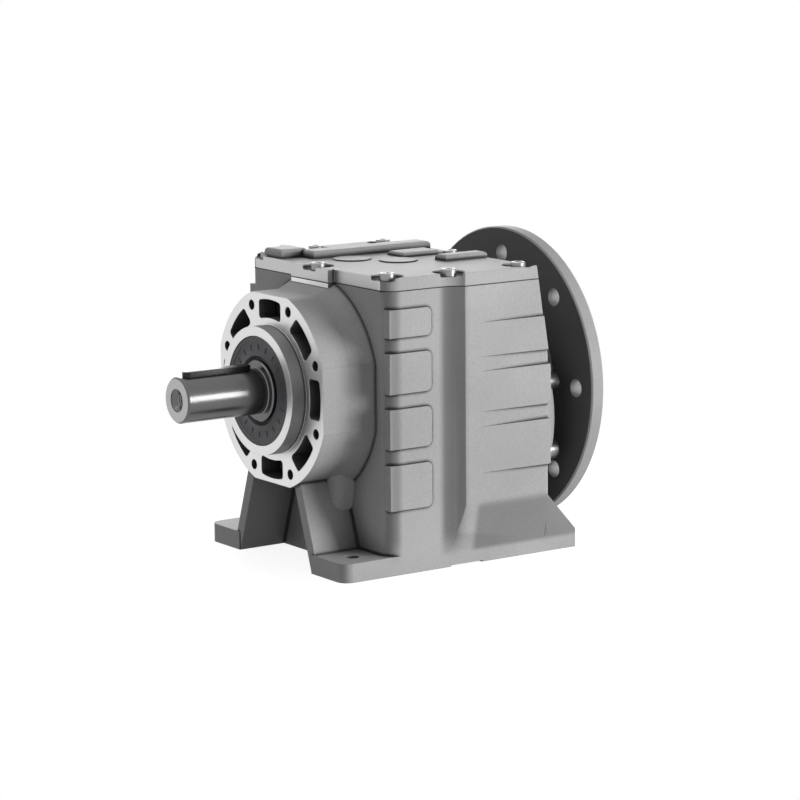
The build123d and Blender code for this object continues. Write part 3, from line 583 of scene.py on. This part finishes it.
cage_brass = make_grained(
    "sawn cage brass", 1.0, 0.02 * MM, 0.4, Light=(0.75, 0.52, 0.22, 1.0), Dark=(0.6, 0.4, 0.15, 1.0)
)
seal_rubber = make_grained(
    "seal rubber", 0.0, 0.03 * MM, 0.5, Light=grey(0.15, 0.08), Dark=grey(0.1, 0.08),
    Grain_Scale=1500.0, Cloud_Scale=60.0, Rough_Low=0.425, Rough_High=0.575,
)
gasket_black = make_grained(
    "gasket fibre", 0.0, 0.05 * MM, 0.5, Light=grey(0.035), Dark=grey(0.02),
    Grain_Scale=2200.0, Cloud_Scale=60.0, Rough_Low=0.68, Rough_High=0.92,
)
print("soft finishes:", seal_rubber.name, gasket_black.name)

# %% [markdown]
# ## Dressing the carried-over CAD nodes
# Each CAD node keeps its mesh and gets one material. A table in words is enough: the
# node's name tells what it is made of.

# %% Give every CAD node its finish


def finish_for(name):
    """Material for a CAD node, by the words in its name."""
    castings = {"housing": housing_metal, "cover": cover_metal, "motor_adapter": adapter_metal}
    if name in castings:
        return castings[name]
    if name.endswith("gasket"):
        return gasket_black
    if name.endswith("seal"):
        return seal_rubber
    if name.endswith("cage"):
        return cage_brass
    if name.endswith(("outer_ring", "inner_ring")):
        return bearing_steel
    if name.endswith(("gear_ring", "bearing_ring")):
        return spring_steel
    if name in ("output_shaft", "output_key"):
        return shaft_steel
    if name == "input_quill":
        return quill_steel
    return middle_steel if name.startswith("intermediate") else gear_steel


for name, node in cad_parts.items():
    node.data.materials.clear()
    node.data.materials.append(finish_for(name))
print("finished", len(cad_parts), "CAD nodes")

# %% [markdown]
# ## Pieces made with bmesh
# A bmesh is a mesh that is being worked on. Every piece below starts from a simple
# shape, is moved to its place in its own mesh, and becomes an object at the origin, so
# that it rides on the body that carries it.

# %% Helpers for new pieces
MERGE = 1e-7


def ride_piece(name, work, body, material, smooth_angle):
    """Shade a bmesh smooth up to an angle and make it an object that rides on a body."""
    for face in work.faces:
        face.smooth = True
    for edge in work.edges:
        if len(edge.link_faces) == 2 and edge.calc_face_angle(0.0) > radians(smooth_angle):
            edge.smooth = False
    mesh = bpy.data.meshes.new(name)
    work.to_mesh(mesh)
    work.free()
    mesh.materials.append(material)
    piece = bpy.data.objects.new(name, mesh)
    bpy.context.scene.collection.objects.link(piece)
    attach(piece, body)
    return piece


def cleaned(work):
    """Merge what coincides and turn all faces outward."""
    bmesh.ops.remove_doubles(work, verts=work.verts, dist=MERGE)
    bmesh.ops.recalc_face_normals(work, faces=work.faces)
    return work


def to_object(name, work, body, material, smooth_angle):
    """Turn a new bmesh into a finished object that rides on a body."""
    return ride_piece(name, cleaned(work), body, material, smooth_angle)


def turned(profile, centre_z, segments):
    """Spin a profile of (radius, y) millimetres once round a line along Y."""
    work = bmesh.new()
    ring = [work.verts.new((radius * MM, y * MM, centre_z)) for radius, y in profile]
    edges = [work.edges.new(pair) for pair in zip(ring, ring[1:])]
    bmesh.ops.spin(
        work,
        geom=ring + edges,
        cent=(0.0, 0.0, centre_z),
        axis=(0.0, 1.0, 0.0),
        angle=2 * pi,
        steps=segments,
        use_merge=True,
    )
    return cleaned(work)


def rod(radius, low, high, segments, turn=Matrix()):
    """Cylinder between two heights on the Z axis, turned by a matrix."""
    work = bmesh.new()
    bmesh.ops.create_cone(
        work, cap_ends=True, segments=segments, radius1=radius, radius2=radius, depth=high - low,
        matrix=turn @ Matrix.Translation((0.0, 0.0, (low + high) / 2)),
    )
    return work


def halved(work, point, away):
    """Cut off what lies on one side of a plane and close the cut."""
    cut = bmesh.ops.bisect_plane(
        work,
        geom=work.verts[:] + work.edges[:] + work.faces[:],
        plane_co=point,
        plane_no=away,
        clear_outer=True,
    )
    rim = [item for item in cut["geom_cut"] if isinstance(item, bmesh.types.BMEdge)]
    bmesh.ops.contextual_create(work, geom=rim)


def boolean(base, other, operation):
    """Apply an exact boolean between two bmeshes and give back one."""
    objects = []
    for index, work in enumerate((base, other)):
        mesh = bpy.data.meshes.new(f"boolean_{index}")
        work.to_mesh(mesh)
        work.free()
        item = bpy.data.objects.new(mesh.name, mesh)
        bpy.context.scene.collection.objects.link(item)
        objects.append(item)
    modifier = objects[0].modifiers.new("cut", "BOOLEAN")
    modifier.operation = operation
    modifier.solver = "EXACT"
    modifier.use_self = True
    modifier.object = objects[1]
    shown = bpy.context.evaluated_depsgraph_get()
    result = bmesh.new()
    result.from_mesh(objects[0].evaluated_get(shown).to_mesh())
    for item in objects:
        mesh = item.data
        bpy.data.objects.remove(item)
        bpy.data.meshes.remove(mesh)
    return result


def scattered(template, places):
    """Copies of a bmesh at each matrix, joined to one."""
    mesh = bpy.data.meshes.new("template")
    template.to_mesh(mesh)
    template.free()
    work = bmesh.new()
    for place in places:
        start = len(work.verts)
        work.from_mesh(mesh)
        work.verts.ensure_lookup_table()
        bmesh.ops.transform(work, matrix=place, verts=work.verts[start:])
    bpy.data.meshes.remove(mesh)
    return work


print("helpers for new pieces are ready")

# %% [markdown]
# ### Smooth copies of the castings
# A CAD mesh is made of loose triangles, so each one is shaded flat and every edge is as
# sharp as a knife. A copy whose doubles are merged can be shaded smooth, and Weighted
# Normal keeps its flat faces flat. The copy stands for its node, and the node itself
# stays untouched.

# %% A helper for smooth copies
CAD_MERGE = 2e-6


def smooth_copy(node_name, material, cutter=None):
    """Merged and smoothly shaded copy that stands for a CAD node, less a cutter."""
    work = bmesh.new()
    work.from_mesh(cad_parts[node_name].data)
    bmesh.ops.remove_doubles(work, verts=work.verts, dist=CAD_MERGE)
    if cutter is not None:
        work = boolean(work, cutter, "DIFFERENCE")
    piece = ride_piece(f"{node_name}_smooth", work, "casing", material, 32.0)
    weighted = piece.modifiers.new("flat faces stay flat", "WEIGHTED_NORMAL")
    weighted.keep_sharp = True
    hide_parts(node_name)
    print(piece.name, "has", len(piece.data.polygons), "faces")


smooth_copy("housing", housing_metal)

# %% [markdown]
# ### The cover and its recesses
# The copy of the cover gets wider and softer recesses for its screws. One turned cutter
# is stood up, copied to all eight places and taken off in a single boolean.

# %% Cover with recesses
SCREW_SPOTS = [(side * x, y) for x, y in ((71.0, -50.0), (78.0, -7.0), (78.0, 48.5)) for side in (-1, 1)]
SCREW_SPOTS += [(0.0, -56.0), (0.0, 50.0)]
RECESS = ((0.0, 0.0), (9.6, 0.0), (10.3, 0.7), (10.3, 1.9), (11.4, 3.4), (0.0, 3.4))
stand_up = Matrix.Rotation(radians(90.0), 4, "X")
seats = [Matrix.Translation((x * MM, y * MM, SEAT_Z)) for x, y in SCREW_SPOTS]
recesses = scattered(turned(RECESS, 0.0, 64), [seat @ stand_up for seat in seats])
smooth_copy("cover", cover_metal, recesses)

# %% [markdown]
# ### Bearing boss on the front wall
# The middle shaft's bearing bulges out of the front wall, and the leg plates hide all of
# it but a crescent on either side. A turned disc cut along the middle of the leg plate
# gives that crescent, and the plate hides the cut.

# %% Bearing boss
BOSS_PROFILE = (
    (0.0, -57.0), (42.5, -57.0), (42.5, -65.0), (42.0, -67.6), (40.6, -69.8), (38.4, -71.3),
    (35.6, -72.0), (0.0, -72.2),
)
LEG_MIDDLE_X = 47.5 * MM
LEG_LEAN = 0.345
boss_work = bmesh.new()
for side in (-1.0, 1.0):
    half = turned(BOSS_PROFILE, MIDDLE_Z, 128)
    halved(half, (side * LEG_MIDDLE_X, 0.0, 0.0), (-side, 0.0, -LEG_LEAN))
    half_mesh = bpy.data.meshes.new("half boss")
    half.to_mesh(half_mesh)
    half.free()
    boss_work.from_mesh(half_mesh)
    bpy.data.meshes.remove(half_mesh)
front_boss = to_object("middle_bearing_boss", boss_work, "casing", housing_metal, 40.0)
print("bearing boss:", len(front_boss.data.polygons), "faces")

# %% [markdown]
# ### Cover screws
# Eight socket head screws sit in round recesses of the cover. A head is a short cylinder
# with a bevelled rim. A boolean sinks the hexagon into it, and another joins the shank,
# so that each screw is one closed solid. Every size is in millimetres.

# %% Cover screws


def one_screw(radius, height, socket, shank_radius, shank):
    """Socket head screw along +Z with the underside of its head at the origin."""
    head = rod(radius * MM, 0.0, height * MM, 48)
    top = [face for face in head.faces if face.normal.z > FACING]
    rim = list({edge for face in top for edge in face.edges})
    bmesh.ops.bevel(
        head, geom=rim, offset=height * 0.14 * MM, offset_type="OFFSET", segments=3, profile=0.5,
        affect="EDGES", material=-1,
    )
    hexagon = rod(socket * MM, height * 0.45 * MM, height * 1.05 * MM, 6)
    stem = rod(shank_radius * MM, -shank * MM, 0.0, 24)
    return boolean(boolean(head, hexagon, "DIFFERENCE"), stem, "UNION")


def add_screws(name, screw, places):
    """Copies of a screw at each place, as one piece of the casing."""
    piece = to_object(name, scattered(screw, places), "casing", screw_zinc, 30.0)
    print(name, "are", len(places), "with", len(piece.data.polygons), "faces")


add_screws("cover_screws", one_screw(4.9, 4.8, 2.9, 3.0, 19.0), seats)

# %% [markdown]
# ### Adapter screws
# Larger screws hold the motor adapter to the back of the housing. Their heads point to
# the rear, so the upright screw is turned to lie along Y.

# %% Adapter screws
PLATE_Z = 89.0
ADAPTER_SPOTS = [(side * 70.0, PLATE_Z + rise) for side in (-1, 1) for rise in (-23.0, 23.0)]
ADAPTER_SPOTS += [(side * 29.4, PLATE_Z + 67.5) for side in (-1, 1)]
ADAPTER_SEAT_Y = 76.4 * MM
lie_down = Matrix.Rotation(radians(-90.0), 4, "X")
adapter_seats = [Matrix.Translation((x * MM, ADAPTER_SEAT_Y, z * MM)) @ lie_down for x, z in ADAPTER_SPOTS]
add_screws("adapter_screws", one_screw(6.5, 8.0, 3.6, 4.0, 20.0), adapter_seats)

# %% [markdown]
# ### Motor adapter
# The flange is the largest round thing in the picture, so its outline must be a true
# circle. A turned profile gives it, with its register and the hollow behind the neck.
# The plate that meets the housing isn't round about the same line, so it is a second
# shape joined to the first, and the bolt holes are cut from both.

# %% Adapter body


def joined_rods(radius, y0, y1, spots, segments):
    """Rods along Y at (x, z) spots, in one bmesh."""
    half = (y1 - y0) / 2
    place = Matrix.Translation((0.0, (y0 + y1) / 2, 0.0)) @ Matrix.Rotation(pi / 2, 4, "X")
    stick = rod(radius, -half, half, segments, place)
    return scattered(stick, [Matrix.Translation((x, 0.0, z)) for x, z in spots])


def adapter_plate():
    """Plate that meets the housing: a disc cut level near the feet, hollow in the middle."""
    plate = joined_rods(80.0 * MM, 67.0 * MM, 77.0 * MM, [(0.0, PLATE_Z * MM)], 144)
    halved(plate, (0.0, 0.0, 20.0 * MM), (0.0, 0.0, -1.0))
    core = joined_rods(40.0 * MM, 60.0 * MM, 90.0 * MM, [(0.0, INPUT_Z)], 96)
    return boolean(plate, core, "DIFFERENCE")


NECK_PROFILE = (
    (34.0, 67.0), (56.5, 67.0), (56.5, 77.0), (60.0, 77.0), (57.6, 78.0), (56.4, 79.6), (56.0, 81.5),
    (56.0, 90.0), (56.5, 91.6), (57.6, 92.6), (59.4, 93.0), (99.0, 93.0), (100.0, 94.0), (100.0, 102.2),
    (99.2, 103.0), (65.6, 103.0), (65.0, 102.4), (65.0, 98.5), (50.0, 98.5), (49.4, 97.9), (48.6, 81.2),
    (47.4, 80.0), (40.6, 80.0), (39.4, 81.2), (38.4, 93.6), (38.0, 94.0), (31.4, 94.0), (31.0, 93.6),
    (31.0, 86.0), (30.0, 86.0), (30.0, 83.0), (34.0, 83.0), (34.0, 67.0),
)
STEPPED_DRILL = ((0.0, 60.0), (4.5, 60.0), (4.5, 76.4), (8.5, 76.4), (8.5, 91.2), (0.0, 91.2))
HOLE_CIRCLE = 82.5 * MM
HOLE_COUNT = 8
flange_holes = []
for index in range(HOLE_COUNT):
    angle = 2 * pi * index / HOLE_COUNT
    flange_holes.append((HOLE_CIRCLE * cos(angle), INPUT_Z + HOLE_CIRCLE * sin(angle)))
adapter_work = boolean(turned(NECK_PROFILE, INPUT_Z, 144), adapter_plate(), "UNION")
hole_rods = joined_rods(6.0 * MM, 90.0 * MM, 106.0 * MM, flange_holes, 40)
adapter_work = boolean(adapter_work, hole_rods, "DIFFERENCE")
drill_spots = [Matrix.Translation((x * MM, 0.0, z * MM)) for x, z in ADAPTER_SPOTS]
drills = scattered(turned(STEPPED_DRILL, 0.0, 40), drill_spots)
adapter_work = boolean(adapter_work, drills, "DIFFERENCE")
smooth_adapter = to_object(
    "motor_adapter_turned", adapter_work, "casing", adapter_metal, 30.0
)
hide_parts("motor_adapter")
print("adapter:", len(smooth_adapter.data.polygons), "faces")

# %% [markdown]
# ### Output shaft
# The shaft's end is close to the camera, so its rim shows every facet. It is turned
# again from its profile, with the chamfer, the centre recess and the tapped hole, and
# the two keyways are cut where the CAD has them. A profile is a list of corners, each
# with its radius and its place along Y in millimetres.

# %% Output shaft
SHAFT_PROFILE = (
    (0.0, -141.0), (4.25, -141.0), (4.25, -162.2), (5.2, -163.2), (7.6, -164.4), (7.6, -165.0),
    (13.9, -165.0), (15.0, -163.9), (15.0, -105.6), (15.6, -105.0), (19.0, -105.0), (20.0, -104.2),
    (20.0, -92.0), (17.5, -92.0), (17.5, -12.0), (16.3, -12.0), (16.3, -10.25), (17.5, -10.25),
    (17.5, -8.0), (12.5, -8.0), (12.5, 7.2), (11.7, 8.0), (0.0, 8.0),
)


def round_key(width, length, y0, low, high):
    """Key with round ends between two heights over the shaft line, all in millimetres."""
    first = Matrix.Translation((0.0, (y0 + width / 2) * MM, OUTPUT_Z))
    work = rod(width / 2 * MM, low * MM, high * MM, 48, first)
    far = [vert for vert in work.verts if vert.co.y > (y0 + width / 2) * MM - 1e-6]
    bmesh.ops.translate(work, vec=(0.0, (length - width) * MM, 0.0), verts=far)
    return work


shaft_work = turned(SHAFT_PROFILE, OUTPUT_Z, 128)
for keyway in ((8.0, 50.0, -160.0, 11.0, 30.0), (10.0, 20.0, -35.0, 12.5, 30.0)):
    shaft_work = boolean(shaft_work, round_key(*keyway), "DIFFERENCE")
smooth_shaft = to_object(
    "output_shaft_turned", shaft_work, "output_train", shaft_steel, 30.0
)
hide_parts("output_shaft")
print("shaft:", len(smooth_shaft.data.polygons), "faces")

# %% [markdown]
# ### Output key
# The key keeps its CAD size, and a small bevel breaks the edges that would cut a hand.

# %% Output key
key_work = round_key(8.0, 50.0, -160.0, 11.0, 18.0)
rims = [edge for edge in key_work.edges if abs(edge.verts[0].co.z - edge.verts[1].co.z) < 1e-6]
bmesh.ops.bevel(
    key_work, geom=rims, offset=0.35 * MM, offset_type="OFFSET", segments=2, profile=0.5,
    affect="EDGES", material=-1,
)
bright_key = to_object("output_key_bevelled", key_work, "output_train", key_steel, 30.0)
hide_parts("output_key")
print("key:", len(bright_key.data.polygons), "faces")

# %% [markdown]
# ### Output seal
# The rubber seal closes the bore round the shaft's collar. From outside it shows a flat
# outer band, a shallow dish and a thin dust lip. Its moulded marks are short raised
# ticks, all alike, spread round the band.

# %% Output seal
SEAL_PROFILE = (
    (36.0, -94.0), (36.0, -103.4), (35.4, -104.0), (33.2, -104.0), (32.8, -103.6), (32.4, -103.4),
    (24.6, -103.4), (23.8, -103.8), (23.0, -103.8), (22.2, -102.6), (21.4, -101.4), (20.6, -102.2),
    (20.15, -102.0), (20.15, -94.0), (21.75, -94.0), (21.75, -99.0), (33.0, -99.0), (33.0, -94.0),
    (36.0, -94.0),
)
TICK_COUNT = 20
TICK_SIZE = (1.0 * MM, 0.6 * MM, 3.6 * MM, 1.0)
tick = bmesh.new()
bmesh.ops.create_cube(tick, size=1.0, matrix=Matrix.Diagonal(TICK_SIZE))
lift = Matrix.Translation((0.0, -103.5 * MM, 28.6 * MM))
middle = Matrix.Translation((0.0, 0.0, OUTPUT_Z))
places = []
for index in range(TICK_COUNT):
    places.append(middle @ Matrix.Rotation(2 * pi * index / TICK_COUNT, 4, "Y") @ lift)
seal_work = boolean(turned(SEAL_PROFILE, OUTPUT_Z, 128), scattered(tick, places), "UNION")
smooth_seal = to_object("output_seal_moulded", seal_work, "casing", seal_rubber, 40.0)
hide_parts("output_seal")
print("seal:", TICK_COUNT, "ticks,", len(smooth_seal.data.polygons), "faces")

# %% [markdown]
# ### Thread in the shaft's end
# A real thread is a spiral. Seen from outside a hole, plain rings look the same and
# stay light, so the tapped hole gets a zigzag sleeve.

# %% Thread sleeve
THREAD_PITCH = 1.5
THREAD_TURNS = 14
THREAD_ROOT = 4.24
THREAD_CREST = 3.6
THREAD_START = -162.0
thread_points = [(THREAD_ROOT, THREAD_START)]
for index in range(THREAD_TURNS):
    y = THREAD_START + THREAD_PITCH * index
    thread_points += [(THREAD_CREST, y + THREAD_PITCH / 2), (THREAD_ROOT, y + THREAD_PITCH)]
thread = to_object(
    "shaft_end_thread", turned(thread_points, OUTPUT_Z, 48), "output_train", dark_steel, 60.0
)
print("thread:", len(thread.data.polygons), "faces")

# %% [markdown]
# ### Bearing balls
# The CAD leaves the balls out to keep its files small. An icosphere has its faces spread
# evenly, where a globe of rings would crowd them at the poles, so it stays round with
# few faces. Each set of balls rides with its cage.

# %% Bearing balls
BALL_SHARE = 0.15
# Each bearing: bore, outside, middle along Y, number of balls, shaft line
BEARINGS = {
    "output_front": (35.0, 72.0, -83.5, 9, OUTPUT_Z),
    "output_rear": (25.0, 52.0, -0.5, 9, OUTPUT_Z),
    "intermediate_front": (20.0, 47.0, -47.0, 8, MIDDLE_Z),
    "intermediate_rear": (17.0, 40.0, 59.5, 8, MIDDLE_Z),
    "input_front": (30.0, 55.0, 60.0, 8, INPUT_Z),
    "input_rear": (40.0, 68.0, 75.5, 8, INPUT_Z),
}
for bearing, (bore, outside, middle_y, count, height) in BEARINGS.items():
    ball = bmesh.new()
    bmesh.ops.create_icosphere(ball, subdivisions=3, radius=(outside - bore) * BALL_SHARE * MM)
    circle = (bore + outside) / 4 * MM
    places = []
    for index in range(count):
        angle = 2 * pi * index / count
        spot = (circle * sin(angle), middle_y * MM, height + circle * cos(angle))
        places.append(Matrix.Translation(spot))
    balls = scattered(ball, places)
    to_object(f"{bearing}_balls", balls, f"{bearing}_cage_set", bearing_steel, 60.0)
print("ball sets:", len(BEARINGS))

# %% [markdown]
# ## Studio
# The ground is a plain sheet. Only the rays that show the background, those of the
# camera, of gloss and of glass, see it and the world as white, so the white lights
# nothing. The sheet keeps the object's shadow, and fades to plain white further out.

# %% Floor and world
FLOOR_HALF = 6.0
FLOOR_GREY = 0.35
FLOOR_LIFT = 0.88
FADE_START = 0.2
FADE_END = 0.42
WORLD_LEVEL = 0.14


def seen_mask(nodes):
    """Mask of the camera, glossy and transmission rays, the ones that see the background."""
    path = nodes.new("ShaderNodeLightPath")
    seen = maths(nodes, "MAXIMUM", path.outputs["Is Camera Ray"], path.outputs["Is Transmission Ray"])
    return maths(nodes, "MAXIMUM", seen, path.outputs["Is Glossy Ray"])


def make_floor_paint():
    """White for the rays that see the background, grey for the light that bounces."""
    material, nodes, links, shader = new_material("white studio floor", 0.0)
    shader.inputs["Base Color"].default_value = grey(FLOOR_GREY)
    shader.inputs["Roughness"].default_value = 0.9
    distance = nodes.new("ShaderNodeVectorMath")
    distance.operation = "LENGTH"
    links.new(nodes.new("ShaderNodeTexCoord").outputs["Object"], distance.inputs[0])
    fade = mapped(nodes, distance.outputs["Value"], FADE_START, FADE_END, smooth=True)
    seen = seen_mask(nodes)
    lift = nodes.new("ShaderNodeEmission")
    links.new(maths(nodes, "MULTIPLY", seen, FLOOR_LIFT), lift.inputs["Strength"])
    lifted = nodes.new("ShaderNodeAddShader")
    links.new(shader.outputs[0], lifted.inputs[0])
    links.new(lift.outputs[0], lifted.inputs[1])
    mixer = nodes.new("ShaderNodeMixShader")
    links.new(maths(nodes, "MULTIPLY", fade, seen), mixer.inputs["Fac"])
    links.new(lifted.outputs[0], mixer.inputs[1])
    links.new(nodes.new("ShaderNodeEmission").outputs[0], mixer.inputs[2])
    links.new(mixer.outputs[0], nodes["Material Output"].inputs["Surface"])
    return material


floor_work = bmesh.new()
bmesh.ops.create_grid(floor_work, x_segments=1, y_segments=1, size=FLOOR_HALF)
floor_mesh = bpy.data.meshes.new("floor")
floor_work.to_mesh(floor_mesh)
floor_work.free()
floor_mesh.materials.append(make_floor_paint())
floor = bpy.data.objects.new("floor", floor_mesh)
bpy.context.scene.collection.objects.link(floor)
world = bpy.data.worlds.new("studio")
world.use_nodes = True
bpy.context.scene.world = world
world_nodes = world.node_tree.nodes
backdrop = world_nodes["Background"]
backdrop.inputs["Color"].default_value = grey(1.0)
level = maths(world_nodes, "MULTIPLY_ADD", seen_mask(world_nodes), 1.0 - WORLD_LEVEL, WORLD_LEVEL)
world.node_tree.links.new(level, backdrop.inputs["Strength"])
print("floor and world are in place")

# %% [markdown]
# ### Lamps
# Four soft lamps. The side lamp does most of the work: it stands low behind the motor
# side, so that the long side is bright, the front stays dark and the round shaft gets a
# bright band. The fill lamp keeps the far side from going black.

# %% Lamps
AIM = (0.0, -0.02, 0.1)


def soft_lamp(name, place, size, power):
    """Square area lamp that looks at the middle of the object."""
    data = bpy.data.lights.new(name, "AREA")
    data.size = size
    data.energy = power
    lamp = bpy.data.objects.new(name, data)
    lamp.location = place
    lamp.rotation_euler = (Vector(AIM) - Vector(place)).to_track_quat("-Z", "Y").to_euler()
    bpy.context.scene.collection.objects.link(lamp)


soft_lamp("key lamp", (-0.9, -1.5, 1.2), 0.8, 1.5)
soft_lamp("side lamp", (1.3, 0.95, 0.25), 0.7, 19.5)
soft_lamp("fill lamp", (-1.4, 0.8, 0.6), 0.9, 8.0)
soft_lamp("top lamp", (0.0, -0.5, 1.9), 0.9, 3.4)
bpy.context.scene.view_settings.view_transform = "Standard"
print("lamps are lit")
